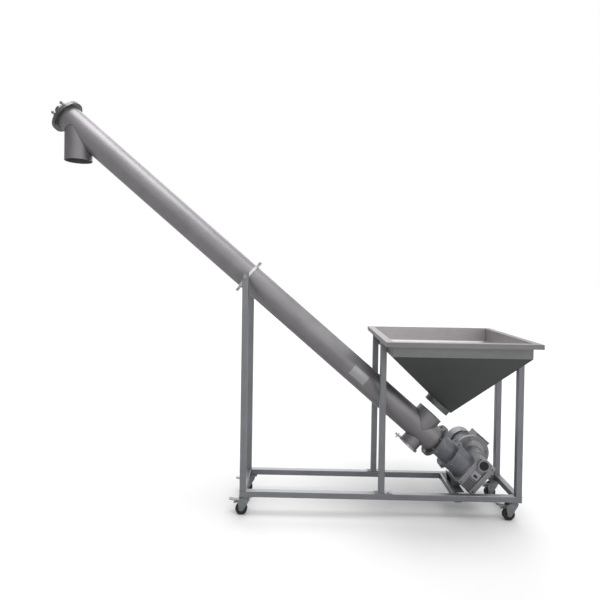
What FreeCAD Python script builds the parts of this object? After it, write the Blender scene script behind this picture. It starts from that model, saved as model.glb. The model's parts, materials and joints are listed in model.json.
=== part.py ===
import FreeCAD, Part
import os
import re
import Sketcher
from FreeCAD import Rotation, Vector

# Mobile inclined screw conveyor (grain auger) with a feed hopper, in millimetres.
# +X runs from the discharge end to the hopper end, +Y to the back, +Z up from the floor.
# The origin is on the floor, at the centre of the machine's overall length and width.

doc = FreeCAD.newDocument("grain_auger")

# ---------------------------------------------------------------- driving dimensions
SIZES = [
    ("origin_x", 246.4, "origin, from the left end of the base frame"),
    # base frame of square tube
    ("frame_length", 1885, "base frame, left end to right end"),
    ("frame_depth", 400, "base frame, front face to back face"),
    ("section", 40, "side of the square tube"),
    ("section_wall", 2.5, "wall of the square tube"),
    ("section_round", 4, "outer corner radius of the square tube"),
    ("rail_bottom", 130, "underside of the base frame above the floor"),
    ("mid_post_x", 931, "left face of the middle posts"),
    ("beam_x", 1438, "left face of the drive beam"),
    ("plate", 6, "thickness of foot plates, clips and brackets"),
    # conveyor tube
    ("tilt", 40.5, "slope of the tube in degrees"),
    ("pivot_x", 20, "saddle pivot, from the left end of the frame"),
    ("pivot_height", 1608.5, "saddle pivot above the floor"),
    ("head_reach", 1712, "pivot to the upper end of the tube"),
    ("tail_reach", 1752, "pivot to the lower end of the tube"),
    ("tube_radius", 92, "outside radius of the tube"),
    ("tube_wall", 3, "wall of the tube and its branches"),
    ("branch_radius", 91.5, "outside radius of inlet and spout"),
    ("inlet_reach", 1598, "pivot to the inlet"),
    ("spout_reach", 1606, "pivot to the spout"),
    ("inlet_top", 130, "inlet mouth above the tube axis"),
    ("spout_drop", 243, "spout mouth below the tube axis"),
    ("flange_radius", 123, "tube flanges"),
    ("flange_thick", 10, "tube flanges and head cover"),
    ("flange_bolt_circle", 108, "radius of the flange bolt circle"),
    ("flange_bolt", 5, "radius of the flange bolts"),
    ("gland_stud", 6.5, "radius of the gland studs"),
    ("stud_off", 45, "gland studs from the tube axis"),
    ("stud_length", 97.7, "gland studs beyond the head cover"),
    ("gasket", 2, "head gasket"),
    ("saddle_width", 20, "saddle collar along the tube"),
    ("saddle_wall", 5, "saddle collar strap"),
    ("saddle_ear", 116, "bolt line of the saddle ears from the tube axis"),
    ("pivot_bolt", 8, "radius of the pivot bolts"),
    ("cleanout_reach", 1630, "pivot to the clean-out port"),
    ("cleanout_radius", 66, "outside radius of the clean-out port"),
    ("cleanout_mouth", 146, "clean-out face below the tube axis"),
    ("running", 0.05, "radial running clearance"),
    # screw
    ("shaft_radius", 30, "screw pipe"),
    ("journal_radius", 19, "screw journals"),
    ("screw_radius", 85, "flight outside radius"),
    ("screw_pitch", 150, "flight pitch"),
    ("flight_thick", 4, "flight plate"),
    # hopper
    ("rim_top", 1222, "hopper rim above the floor"),
    ("rim_length", 967, "hopper rim along X"),
    ("rim_width", 886, "hopper rim along Y"),
    ("rim_overhang", 46.5, "rim outside the bin wall"),
    ("rim_lip", 30, "turned-down edge of the rim"),
    ("bin_depth", 98, "straight bin wall below the rim top"),
    ("sheet", 2, "hopper sheet"),
    ("outlet_radius", 93, "hopper outlet"),
    ("outlet_square", 156, "side of the square end of the cone"),
    ("outlet_low", 184, "hopper outlet mouth above the tube axis"),
    ("outlet_high", 222, "top of the hopper outlet above the tube axis"),
    # drive
    ("neck_radius", 78, "adapter neck"),
    ("mid_flange_radius", 111, "adapter and output flange"),
    ("mid_flange_at", 1892, "joint of adapter and output flange, from the pivot"),
    ("barrel_radius", 95, "gearbox output flange barrel"),
    ("gear_at", 2075, "worm and wheel centre plane from the pivot"),
    ("gear_middle", 2088, "middle of the gearbox housing from the pivot"),
    ("gear_half", 71, "half width of the gearbox"),
    ("gear_centres", 100, "worm gear centre distance"),
    ("gear_low", 112, "foot of the gearbox below the tube axis"),
    ("gear_top", 138, "top of the gearbox above the tube axis"),
    ("gear_side", 100, "side walls in front of the tube axis"),
    ("gear_back", 94, "side walls behind the tube axis"),
    ("gear_core", 84, "half depth of the case between the side walls"),
    ("gear_round", 150, "corner rounding of the side walls, from their middle"),
    ("rib_plate", 36, "gearbox side walls"),
    ("hub_radius", 38, "hub of the worm wheel"),
    ("wheel_space", 79, "space for the worm wheel"),
    ("worm_boss", 43, "worm bearing boss"),
    ("boss_front", 112, "front of the worm bearing boss"),
    ("cap_radius", 31, "worm bearing cap"),
    ("motor_flange_radius", 125, "motor and input flange"),
    ("motor_face", 146, "face of the motor flange behind the tube axis"),
    ("motor_radius", 95, "motor over its fins"),
    ("motor_length", 200, "motor housing behind its flange"),
    ("motor_end", 440, "back of the fan cowl behind the tube axis"),
    ("cowl_radius", 98.5, "fan cowl"),
    ("lid_top", 237, "top of the terminal lid above the tube axis"),
    # casters
    ("caster_x", 42, "swivel axis from the frame end"),
    ("caster_y", 165, "swivel axis from the machine's middle plane"),
    ("wheel_radius", 40, "caster wheel"),
    ("trail", 32, "swivel axis to wheel axle"),
    ("axle_radius", 5, "caster axle"),
    ("kingpin_radius", 7, "caster swivel pin"),
    ("fork_gap", 19, "half gap between the fork legs"),
    ("fork_wall", 2.5, "fork leg"),
]

sheet = doc.addObject("Spreadsheet::Sheet", "Sizes")
for row, (alias, number, meaning) in enumerate(SIZES, start=1):
    sheet.set("A%d" % row, str(number))
    sheet.setAlias("A%d" % row, alias)
    sheet.set("B%d" % row, meaning)
doc.recompute()

ALIASES = {alias for alias, number, meaning in SIZES}
NODES = []


# ---------------------------------------------------------------- formulas and places
def formula(text):
    """A formula over aliases, written with references to the spreadsheet."""
    def cell(word):
        return "Sizes." + word.group() if word.group() in ALIASES else word.group()
    return re.sub(r"[a-z_]+", cell, str(text))


def value(owner, text):
    return float(owner.evalExpression(formula(text)))


def floor(x, y, z):
    """A point given from the frame's left end, the middle plane and the floor."""
    return ("%s - origin_x" % x, str(y), str(z))


def tube(down, y, off):
    """A point given along the tube from the pivot, across it, and off its axis."""
    x = "pivot_x - origin_x + (%s) * cos(tilt) + (%s) * sin(tilt)" % (down, off)
    z = "pivot_height - (%s) * sin(tilt) + (%s) * cos(tilt)" % (down, off)
    return (x, str(y), z)


# local +Z of a piece points this way; "off" also turns local +X down the tube
TURNS = {
    "up": (Vector(0, 1, 0), "0"),
    "down": (Vector(0, 1, 0), "180"),
    "right": (Vector(0, 1, 0), "90"),
    "back": (Vector(1, 0, 0), "-90"),
    "front": (Vector(1, 0, 0), "90"),
    "off": (Vector(0, 1, 0), "tilt"),
    "under": (Vector(0, 1, 0), "tilt + 180"),
    "along": (Vector(0, 1, 0), "tilt + 90"),
    "against": (Vector(0, 1, 0), "tilt - 90"),
}


def put(piece, point, turn="up"):
    """Place a piece; every coordinate and angle stays bound to the sheet."""
    axis, angle = TURNS[turn]
    piece.Placement.Rotation = Rotation(axis, 1)
    for name, text in zip("xyz", point):
        piece.setExpression("Placement.Base." + name, formula(text))
    piece.setExpression("Placement.Rotation.Angle", formula(angle))
    return piece


def bound(kind, **cells):
    piece = doc.addObject(kind, kind.split("::")[1])
    for name, text in cells.items():
        piece.setExpression(name, formula(text))
    return piece


def node(piece, label):
    piece.Label = label
    NODES.append(piece)
    return piece


# ---------------------------------------------------------------- solids and booleans
def box(length, width, height, point, turn="up"):
    return put(bound("Part::Box", Length=length, Width=width, Height=height), point, turn)


def rod(radius, height, point, turn="up"):
    return put(bound("Part::Cylinder", Radius=radius, Height=height), point, turn)


def cone(radius, top_radius, height, point, turn="up"):
    piece = bound("Part::Cone", Radius1=radius, Radius2=top_radius, Height=height)
    return put(piece, point, turn)


def hexagon(radius, height, point, turn="up"):
    piece = bound("Part::Prism", Circumradius=radius, Height=height)
    piece.Polygon = 6
    return put(piece, point, turn)


def fuse(*pieces):
    result = doc.addObject("Part::MultiFuse", "Fuse")
    result.Shapes = list(pieces)
    result.Refine = True
    return result


def cut(base, *tools):
    result = doc.addObject("Part::Cut", "Cut")
    result.Base = base
    result.Tool = tools[0] if len(tools) == 1 else fuse(*tools)
    return result


def common(base, tool):
    result = doc.addObject("Part::Common", "Common")
    result.Base = base
    result.Tool = tool
    return result


def group(*pieces):
    result = doc.addObject("Part::Compound", "Group")
    result.Links = list(pieces)
    return result


def pipe(radius, wall, height, point, turn="up"):
    return cut(rod(radius, height, point, turn), rod("%s - %s" % (radius, wall), height, point, turn))


def shift(point, turn, step):
    """The point a step further along a piece's own +Z."""
    x, y, z = point
    along = {
        "up": (0, 0, 1), "down": (0, 0, -1), "right": (1, 0, 0), "back": (0, 1, 0), "front": (0, -1, 0),
        "off": ("sin(tilt)", 0, "cos(tilt)"), "under": ("-sin(tilt)", 0, "-cos(tilt)"),
        "along": ("cos(tilt)", 0, "-sin(tilt)"), "against": ("-cos(tilt)", 0, "sin(tilt)"),
    }[turn]
    return tuple("%s + (%s) * (%s)" % (start, step, part) for start, part in zip((x, y, z), along))


def bolt(radius, length, point, turn):
    """Hexagon bolt: its head sits on the point, its shank runs on along the turn."""
    head = "1.3 * %s" % radius
    return fuse(rod(radius, length, point, turn),
                hexagon("1.8 * %s" % radius, head, shift(point, turn, "-%s" % head), turn))


def nut(radius, point, turn):
    body = hexagon("1.8 * %s" % radius, "1.6 * %s" % radius, point, turn)
    return cut(body, rod("%s + running" % radius, "1.6 * %s" % radius, point, turn))


# ---------------------------------------------------------------- part design bodies
def design(label):
    body = doc.addObject("PartDesign::Body", "Body")
    body.Label = label
    return body


def sketch(body, plane="XY_Plane"):
    drawing = body.newObject("Sketcher::SketchObject", "Sketch")
    base = next(item for item in body.Origin.OriginFeatures if item.Role == plane)
    drawing.AttachmentSupport = [(base, "")]
    drawing.MapMode = "FlatFace"
    return drawing


def fix_point(drawing, edge, end, x, y):
    """Hold one point of an edge at bound coordinates."""
    for kind, text in (("DistanceX", x), ("DistanceY", y)):
        index = drawing.addConstraint(Sketcher.Constraint(kind, -1, 1, edge, end, value(drawing, text)))
        drawing.setExpression("Constraints[%d]" % index, formula(text))


def polygon(drawing, *points):
    corners = [Vector(value(drawing, x), value(drawing, y), 0) for x, y in points]
    first = drawing.GeometryCount
    count = len(points)
    for start, end in zip(corners, corners[1:] + corners[:1]):
        drawing.addGeometry(Part.LineSegment(start, end), False)
    for step in range(count):
        follower = first + (step + 1) % count
        drawing.addConstraint(Sketcher.Constraint("Coincident", first + step, 2, follower, 1))
    for step, (x, y) in enumerate(points):
        fix_point(drawing, first + step, 1, x, y)


def circle(drawing, radius, x="0", y="0"):
    centre = Vector(value(drawing, x), value(drawing, y), 0)
    edge = drawing.addGeometry(Part.Circle(centre, Vector(0, 0, 1), value(drawing, radius)), False)
    fix_point(drawing, edge, 3, x, y)
    index = drawing.addConstraint(Sketcher.Constraint("Radius", edge, value(drawing, radius)))
    drawing.setExpression("Constraints[%d]" % index, formula(radius))


def pad(body, drawing, length, middle=False):
    feature = body.newObject("PartDesign::Pad", "Pad")
    feature.Profile = drawing
    feature.setExpression("Length", formula(length))
    feature.Midplane = middle
    return feature


def pocket(body, drawing, length):
    feature = body.newObject("PartDesign::Pocket", "Pocket")
    feature.Profile = drawing
    feature.setExpression("Length", formula(length))
    feature.Reversed = True
    return feature


def revolve(body, drawing):
    feature = body.newObject("PartDesign::Revolution", "Revolution")
    feature.Profile = drawing
    feature.ReferenceAxis = (drawing, ["V_Axis"])
    feature.Angle = 360
    return feature


def repeat(body, feature, count):
    """Repeat a feature round the body's own Z axis."""
    pattern = body.newObject("PartDesign::PolarPattern", "PolarPattern")
    pattern.Originals = [feature]
    pattern.Axis = (next(item for item in body.Origin.OriginFeatures if item.Role == "Z_Axis"), [""])
    pattern.Angle = 360
    pattern.Occurrences = count
    body.Tip = pattern
    return pattern


def turned(label, *outline):
    """A turned piece: an outline of (radius, height) points round its own Z axis."""
    body = design(label)
    drawing = sketch(body, "XZ_Plane")
    polygon(drawing, *outline)
    revolve(body, drawing)
    return body


def square_tube(label, length, point, turn):
    """A length of square tube with round corners, centred on its own Z axis."""
    body = design(label)
    drawing = sketch(body)
    for half in ("section / 2", "section / 2 - section_wall"):
        low, high = "-(%s)" % half, half
        polygon(drawing, (low, low), (high, low), (high, high), (low, high))
    blank = pad(body, drawing, length)
    doc.recompute()
    reach = value(body, "section / 2")
    corners = []
    for index, edge in enumerate(blank.Shape.Edges, start=1):
        middle = edge.CenterOfMass
        if abs(abs(middle.x) - reach) < 0.01 and abs(abs(middle.y) - reach) < 0.01:
            corners.append("Edge%d" % index)
    rounding = body.newObject("PartDesign::Fillet", "Fillet")
    rounding.Base = (blank, corners)
    rounding.setExpression("Radius", formula("section_round"))
    return put(body, point, turn)


def ring_plate(label, outer, inner, thick, circle_radius, hole, count):
    """A round plate with a bore and a circle of bolt holes."""
    body = design(label)
    drawing = sketch(body)
    circle(drawing, outer)
    circle(drawing, inner)
    pad(body, drawing, thick)
    holes = sketch(body)
    half_step = "180 / %d" % count
    circle(holes, hole, *("%s * %s(%s)" % (circle_radius, part, half_step) for part in ("cos", "sin")))
    repeat(body, pocket(body, holes, thick), count)
    return body


def either_side(make):
    """The front piece and the back piece, in one group."""
    return group(make("-"), make(""))


# ---------------------------------------------------------------- base frame
RAIL_TOP = "rail_bottom + section"
RAIL_Y = "(frame_depth - section) / 2"
FOOT_START = "mid_post_x - 28"
FOOT_BOLTS = ("mid_post_x - 14", "mid_post_x + 68")
CLIP_START = "beam_x + 2"


def long_rail(sign):
    """A long rail with its foot-plate holes above and its clip hole below."""
    rail_y = "%s(%s)" % (sign, RAIL_Y)
    rail = square_tube("rail", "frame_length", floor(0, rail_y, "rail_bottom + section / 2"), "right")
    holes = [rod(4.3, "2 * section_wall", floor(x, rail_y, RAIL_TOP), "down") for x in FOOT_BOLTS]
    holes.append(rod(4.3, "2 * section_wall", floor("beam_x + 25", rail_y, "rail_bottom")))
    return cut(rail, *holes)


def cross_rail(x):
    return square_tube("rail", "frame_depth - 2 * section",
                       floor(x, "section - frame_depth / 2", "rail_bottom + section / 2"), "back")


def post(x, sign, bottom, top):
    return square_tube("post", "%s - (%s)" % (top, bottom),
                       floor("%s + section / 2" % x, "%s(%s)" % (sign, RAIL_Y), bottom), "up")


def pivot_post(sign):
    """A post with the pivot hole across it and a closed top."""
    blank = post("0", sign, RAIL_TOP, "pivot_height + 31.5")
    cap = box("section", "section", "section_wall",
              floor(0, "%s(%s) - section / 2" % (sign, RAIL_Y), "pivot_height + 31.5"))
    hole = rod("pivot_bolt + 0.2", "section", floor("pivot_x", "%s(%s) - section / 2" % (sign, RAIL_Y),
                                                    "pivot_height"), "back")
    return cut(fuse(blank, cap), hole)


node(long_rail("-"), "front_rail")
node(long_rail(""), "back_rail")
node(group(cross_rail("section / 2"), cross_rail("frame_length - section / 2")), "end_rails")
node(cross_rail("beam_x + section / 2"), "drive_beam")
node(either_side(pivot_post), "left_posts")
node(either_side(lambda sign: post("mid_post_x", sign, RAIL_TOP + " + plate", "rim_top - sheet")),
     "mid_posts")
node(either_side(lambda sign: post("frame_length - section", sign, RAIL_TOP, "rim_top - sheet")),
     "right_posts")


def foot_plate(sign):
    foot_y = "%s(%s) - section / 2" % (sign, RAIL_Y)
    blank = box(120, "section", "plate", floor(FOOT_START, foot_y, RAIL_TOP))
    holes = [rod(4.3, "plate", floor(x, foot_y + " + section / 2", RAIL_TOP)) for x in FOOT_BOLTS]
    return cut(blank, *holes)


def beam_clip(sign):
    clip_y = "%s(%s) - section / 2" % (sign, RAIL_Y)
    blank = box(46, "section", "plate", floor(CLIP_START, clip_y, "rail_bottom - plate"))
    return cut(blank, rod(4.3, "plate", floor("beam_x + 25", clip_y + " + section / 2", "rail_bottom"), "down"))


node(group(foot_plate("-"), foot_plate(""), beam_clip("-"), beam_clip("")), "foot_plates")

# ---------------------------------------------------------------- tube and its branches
TUBE_ALONG = ("tube_radius", "head_reach + tail_reach", tube("-head_reach", 0, 0), "along")
INLET = tube("inlet_reach", 0, 0)
SPOUT = tube("-spout_reach", 0, 0)
PORT = tube("cleanout_reach", 0, 0)
BRANCH_BORE = "branch_radius - tube_wall"

node(cut(rod(*TUBE_ALONG),
         rod("tube_radius - tube_wall", *TUBE_ALONG[1:]),
         rod(BRANCH_BORE, "inlet_top", INLET, "off"),
         rod(BRANCH_BORE, "spout_drop", SPOUT, "down"),
         rod("cleanout_radius - tube_wall", "cleanout_mouth", PORT, "under")), "conveyor_tube")


def branch(radius, reach, point, turn, bead):
    """A branch pipe fitted to the outside of the tube, with a beaded mouth."""
    wall = cut(pipe(radius, "tube_wall", reach, point, turn), rod(*TUBE_ALONG))
    mouth = pipe("%s + %s" % (radius, bead), "tube_wall + %s" % bead, 6,
                 shift(point, turn, "%s - 6" % reach), turn)
    return fuse(wall, mouth)


node(branch("branch_radius", "inlet_top", INLET, "off", 1.5), "inlet_spigot")
node(branch("branch_radius", "spout_drop", SPOUT, "down", 1.5), "discharge_spout")
node(branch("cleanout_radius", "cleanout_mouth", PORT, "under", 5), "cleanout_port")

# clean-out cap, its split clamp ring and the wing nut that draws the ring shut
MOUTH = tube("cleanout_reach", 0, "-cleanout_mouth")
node(put(turned("cap", (0, 0), ("cleanout_radius + 5", 0), ("cleanout_radius + 5", 3),
                ("cleanout_radius - 4", 3), ("cleanout_radius - 12", 8), (0, 8)), MOUTH, "under"),
     "cleanout_cap")
clamp_ring = put(turned("ring", ("cleanout_radius + 0.5", -8.5), ("cleanout_radius + 9", -8.5),
                        ("cleanout_radius + 9", 6), ("cleanout_radius - 3", 6),
                        ("cleanout_radius - 3", 3.2), ("cleanout_radius + 5.3", 3.2),
                        ("cleanout_radius + 5.3", -6.2), ("cleanout_radius + 0.5", -6.2)), MOUTH, "under")
EAR_DOWN = "cleanout_reach - cleanout_radius"
clamp_ears = box(50, 22, 14, tube(EAR_DOWN + " + 2", -11, "8 - cleanout_mouth"), "under")
clamp_split = box(90, 8, 20, tube(EAR_DOWN + " + 20", -4, "10 - cleanout_mouth"), "under")
ear_point = tube(EAR_DOWN + " - 38", -32, "1 - cleanout_mouth")
ear_hole = rod(4.2, 60, ear_point, "back")
ring_bore = rod("cleanout_radius + 5.3", 20, shift(MOUTH, "under", -10), "under")
clamp_bolt = fuse(rod(4, 50, ear_point, "back"), hexagon(8, 5, shift(ear_point, "back", 43.5), "back"))
node(group(cut(fuse(clamp_ring, cut(clamp_ears, ring_bore)), clamp_split, ear_hole), clamp_bolt),
     "cleanout_clamp")
wing_hub = rod(8, 12, shift(ear_point, "back", 8), "back")
wings = [box(4, 12, 16, tube(EAR_DOWN + " - 40", -27, "%s - cleanout_mouth" % start), "off")
         for start in (6, -20)]
node(cut(fuse(wing_hub, *wings), rod("4 + running", 60, ear_point, "back")), "cleanout_wing_nut")


# ---------------------------------------------------------------- tube ends
def tube_ring(down, thick, inner):
    ring = ring_plate("ring", "flange_radius", inner, thick, "flange_bolt_circle", "flange_bolt + 0.5", 8)
    return put(ring, tube(down, 0, 0), "along")


node(group(tube_ring("-head_reach", "flange_thick", "tube_radius"),
           tube_ring("tail_reach - flange_thick", "flange_thick", "tube_radius")), "tube_flanges")
node(tube_ring("-head_reach - gasket", "gasket", "tube_radius - tube_wall"), "head_gasket")
COVER_FACE = "head_reach + gasket + flange_thick"
STUDS = ("-stud_off", "stud_off")
cover = tube_ring("-(%s)" % COVER_FACE, "flange_thick", "journal_radius + 1")
cover_holes = [rod("gland_stud + 0.5", "flange_thick", tube("-(%s)" % COVER_FACE, 0, off), "along")
               for off in STUDS]
node(cut(cover, *cover_holes), "head_cover")

# stuffing box on the cover, and the gland that two long studs pull onto it
packing_box = put(turned("packing", ("journal_radius + running", 0), (36, 0), (36, 8), (31, 12), (31, 48),
                         (22, 48), (22, 10), ("journal_radius + running", 10)),
                  tube("-(%s)" % COVER_FACE, 0, 0), "against")
node(packing_box, "packing_box")

GLAND_START = "-(%s) - 52" % COVER_FACE
gland_ears = [rod(14, 12, tube(GLAND_START, 0, off), "against") for off in STUDS]
gland_web = box(12, 28, "2 * stud_off", tube(GLAND_START + " - 12", -14, "-stud_off"), "off")
gland_body = put(turned("gland", (0, 26), (26, 26), (30, 22), (30, 0), (21.5, 0), (21.5, -30),
                        ("journal_radius + running", -30), ("journal_radius + running", 18), (0, 18)),
                 tube(GLAND_START, 0, 0), "against")
gland_void = rod(30, 12, tube(GLAND_START, 0, 0), "against")
gland_holes = [rod("gland_stud + 0.5", 12, tube(GLAND_START, 0, off), "against") for off in STUDS]
node(cut(fuse(gland_body, cut(fuse(gland_web, *gland_ears), gland_void)), *gland_holes), "packing_gland")


def round_bolts(count, down, circle_radius, radius, length, turn, nut_step=None):
    """Bolts round the tube axis, with nuts when a nut step is given."""
    pieces = []
    for step in range(count):
        angle = "%s * %d + %s" % (360.0 / count, step, 180.0 / count)
        point = tube(down, "%s * sin(%s)" % (circle_radius, angle), "%s * cos(%s)" % (circle_radius, angle))
        pieces.append(bolt(radius, length, point, turn))
        if nut_step is not None:
            pieces.append(nut(radius, shift(point, turn, nut_step), turn))
    return pieces


def head_stud(off):
    """A long gland stud through the cover, with a nut on the gland's ear and one near its end."""
    face = tube("-(%s)" % COVER_FACE, 0, off)
    root = rod("gland_stud", "flange_thick", face, "along")
    fixings = [nut("gland_stud", shift(face, "against", step), "against") for step in (64, 82.8)]
    return [fuse(rod("gland_stud", "stud_length", face, "against"), root)] + fixings


flange_bolts = round_bolts(8, "-(%s)" % COVER_FACE, "flange_bolt_circle", "flange_bolt",
                           "2 * flange_thick + gasket", "along")
flange_bolts += round_bolts(8, "tail_reach - flange_thick", "flange_bolt_circle", "flange_bolt",
                            "flange_thick + 24", "along", "flange_thick + 12")
for off in STUDS:
    flange_bolts += head_stud(off)
node(group(*flange_bolts), "flange_bolts")

plate_skin = pipe("tube_radius + 1", 1, 130, tube(963, 0, 0), "along")
node(common(plate_skin, box(130, 40, 75, tube(963, "-tube_radius - 10", -37.5), "off")), "data_plate")


# ---------------------------------------------------------------- saddle and its bolts
def saddle(sign):
    """Half a collar with two ears and a boss that reaches its post."""
    start = tube("-saddle_width / 2", 0, 0)
    ring = pipe("tube_radius + saddle_wall", "saddle_wall", "saddle_width", start, "along")
    keep_y = "-150" if sign else "0"
    half = common(ring, box("saddle_width", 150, 300, tube("-saddle_width / 2", keep_y, -150), "off"))
    ear_y = "-saddle_wall" if sign else "0"
    reach = "saddle_ear + 16 - tube_radius - 1"
    ears = [box("saddle_width", "saddle_wall", reach, tube("-saddle_width / 2", ear_y, low), "off")
            for low in ("tube_radius + 1", "-saddle_ear - 16")]
    boss_start = "%s(tube_radius + 1)" % sign
    boss = rod(15, "frame_depth / 2 - section - tube_radius - 1", tube(0, boss_start, 0),
               "front" if sign else "back")
    body = fuse(half, *ears, cut(boss, rod(*TUBE_ALONG)))
    holes = [rod("flange_bolt + 0.5", "2 * saddle_wall", tube(0, "-saddle_wall", off), "back")
             for off in ("saddle_ear", "-saddle_ear")]
    holes.append(rod("pivot_bolt + 0.2", 64, tube(0, "%s(frame_depth / 2 - section)" % sign, 0),
                     "back" if sign else "front"))
    return cut(body, *holes)


node(either_side(saddle), "saddle")

frame_bolts = []
for sign in ("-", ""):
    outward, inward = ("front", "back") if sign else ("back", "front")
    rail_y = "%s(%s)" % (sign, RAIL_Y)
    for x in FOOT_BOLTS:
        frame_bolts.append(bolt(4, 24, floor(x, rail_y, RAIL_TOP + " + plate"), "down"))
    frame_bolts.append(bolt(4, 24, floor("beam_x + 25", rail_y, "rail_bottom - plate"), "up"))
    frame_bolts.append(bolt("pivot_bolt", 98, tube(0, "%s(frame_depth / 2)" % sign, 0), inward))
for off in ("saddle_ear", "-saddle_ear"):
    ear_face = tube(0, "-saddle_wall", off)
    frame_bolts.append(bolt("flange_bolt", "2 * saddle_wall + 12", ear_face, "back"))
    frame_bolts.append(nut("flange_bolt", shift(ear_face, "back", "2 * saddle_wall"), "back"))
node(group(*frame_bolts), "frame_bolts")

# ---------------------------------------------------------------- screw
GEAR_FAR = "gear_middle + gear_half"
TAIL_STEP = "gear_half + gear_middle - 4 - tail_reach + 8"
HEAD_STEP = TAIL_STEP + " + head_reach + tail_reach - 16"
SHAFT_END = HEAD_STEP + " + gasket + flange_thick + 74"
node(put(turned("shaft", (12, 0), ("journal_radius", 0), ("journal_radius", TAIL_STEP),
                ("shaft_radius", TAIL_STEP), ("shaft_radius", HEAD_STEP), ("journal_radius", HEAD_STEP),
                ("journal_radius", SHAFT_END), (12, SHAFT_END), (12, HEAD_STEP + " - 20"),
                ("shaft_radius - 4", HEAD_STEP + " - 40"), ("shaft_radius - 4", TAIL_STEP + " + 40"),
                (12, TAIL_STEP + " + 20")), tube(GEAR_FAR + " - 4", 0, 0), "against"), "auger_shaft")

core = float(sheet.get("shaft_radius"))
edge = float(sheet.get("screw_radius"))
thick = float(sheet.get("flight_thick"))
turns_length = float(sheet.get("head_reach")) + float(sheet.get("tail_reach")) - 90
helix = Part.makeHelix(float(sheet.get("screw_pitch")), turns_length, core)
profile = [Vector(core, 0, 0), Vector(edge, 0, 0), Vector(edge, 0, thick), Vector(core, 0, thick)]
flight = doc.addObject("Part::Feature", "Flight")
flight.Shape = Part.Wire(helix).makePipeShell([Part.makePolygon(profile + profile[:1])], True, True)
node(put(flight, tube("tail_reach - 22", 0, 0), "against"), "auger_flight")


# ---------------------------------------------------------------- hopper
HOPPER_X = "mid_post_x + section - rim_overhang + rim_length / 2"
BIN_BOTTOM = "rim_top - bin_depth"


def rectangle(drawing, length, width, inset="0"):
    x, y = "(%s) / 2 - %s" % (length, inset), "(%s) / 2 - %s" % (width, inset)
    polygon(drawing, ("-(%s)" % x, "-(%s)" % y), (x, "-(%s)" % y), (x, y), ("-(%s)" % x, y))


BIN = ("rim_length - 2 * rim_overhang", "rim_width - 2 * rim_overhang")
rim = design("rim")
outline = sketch(rim)
rectangle(outline, "rim_length", "rim_width")
rectangle(outline, *BIN, "sheet")
pad(rim, outline, "sheet")
edge_fold = sketch(rim)
rectangle(edge_fold, "rim_length", "rim_width")
rectangle(edge_fold, "rim_length", "rim_width", "sheet")
fold = pad(rim, edge_fold, "rim_lip - sheet")
fold.Reversed = True
node(put(rim, floor(HOPPER_X, 0, "rim_top - sheet")), "hopper_rim")

walls = design("walls")
outline = sketch(walls)
rectangle(outline, *BIN)
rectangle(outline, *BIN, "sheet")
pad(walls, outline, "bin_depth - sheet")
node(put(walls, floor(HOPPER_X, 0, BIN_BOTTOM)), "hopper_bin")


def funnel(inset):
    """The sloping part of the hopper as a solid, inset by a sheet thickness or not."""
    ends = []
    low = "outlet_high" if inset == "0" else "outlet_high - 0.01"
    for size, point, turn in ((BIN, floor(HOPPER_X, 0, BIN_BOTTOM), "up"),
                              (("outlet_square", "outlet_square"), tube("inlet_reach", 0, low), "off")):
        drawing = doc.addObject("Sketcher::SketchObject", "Sketch")
        rectangle(drawing, *size, inset)
        ends.append(put(drawing, point, turn))
    loft = doc.addObject("Part::Loft", "Loft")
    loft.Sections = ends
    loft.Solid = True
    loft.Ruled = True
    return loft


node(cut(funnel("0"), funnel("sheet")), "hopper_cone")

HALF = "outlet_square / 2"
outlet_pipe = pipe("outlet_radius", "sheet", "outlet_high - sheet - outlet_low",
                   tube("inlet_reach", 0, "outlet_low"), "off")
plate_low = "outlet_high - sheet"
outlet_disc = rod("outlet_radius", "sheet", tube("inlet_reach", 0, plate_low), "off")
outlet_plate = box("outlet_square", "outlet_square", "sheet",
                   tube("inlet_reach - " + HALF, "-" + HALF, plate_low), "off")
outlet_hole = box("outlet_square - 2 * sheet", "outlet_square - 2 * sheet", "sheet",
                  tube("inlet_reach + sheet - " + HALF, "sheet - " + HALF, plate_low), "off")
node(fuse(outlet_pipe, cut(fuse(outlet_disc, outlet_plate), outlet_hole)), "hopper_outlet")

# ---------------------------------------------------------------- adapter and output flange
ADAPTER = "mid_flange_at - tail_reach"
adapter_body = turned("adapter", (36, 0), ("flange_radius", 0), ("flange_radius", 12),
                      ("neck_radius + 4", 12), ("neck_radius", 18), ("neck_radius", ADAPTER + " - 16"),
                      ("neck_radius + 5", ADAPTER + " - 11"), ("mid_flange_radius", ADAPTER + " - 11"),
                      ("mid_flange_radius", ADAPTER), ("neck_radius - 8", ADAPTER),
                      ("neck_radius - 8", 16), (36, 16))
adapter_holes = [rod("flange_bolt + 0.5", 12,
                     tube("tail_reach", "flange_bolt_circle * sin(45 * %d + 22.5)" % step,
                          "flange_bolt_circle * cos(45 * %d + 22.5)" % step), "along")
                 for step in range(8)]
MID_CIRCLE = 103
adapter_holes += [rod(4.3, 11, tube("mid_flange_at - 11", "%d * sin(45 * %d + 22.5)" % (MID_CIRCLE, step),
                                    "%d * cos(45 * %d + 22.5)" % (MID_CIRCLE, step)), "along")
                  for step in range(8)]
node(cut(put(adapter_body, tube("tail_reach", 0, 0), "along"), *adapter_holes), "drive_adapter")

node(put(turned("seal", ("journal_radius + running", 2), (26, 0), (36, 0), (36, 12), (26, 12),
                ("journal_radius + running", 8)), tube("tail_reach", 0, 0), "along"), "shaft_seal")

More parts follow.
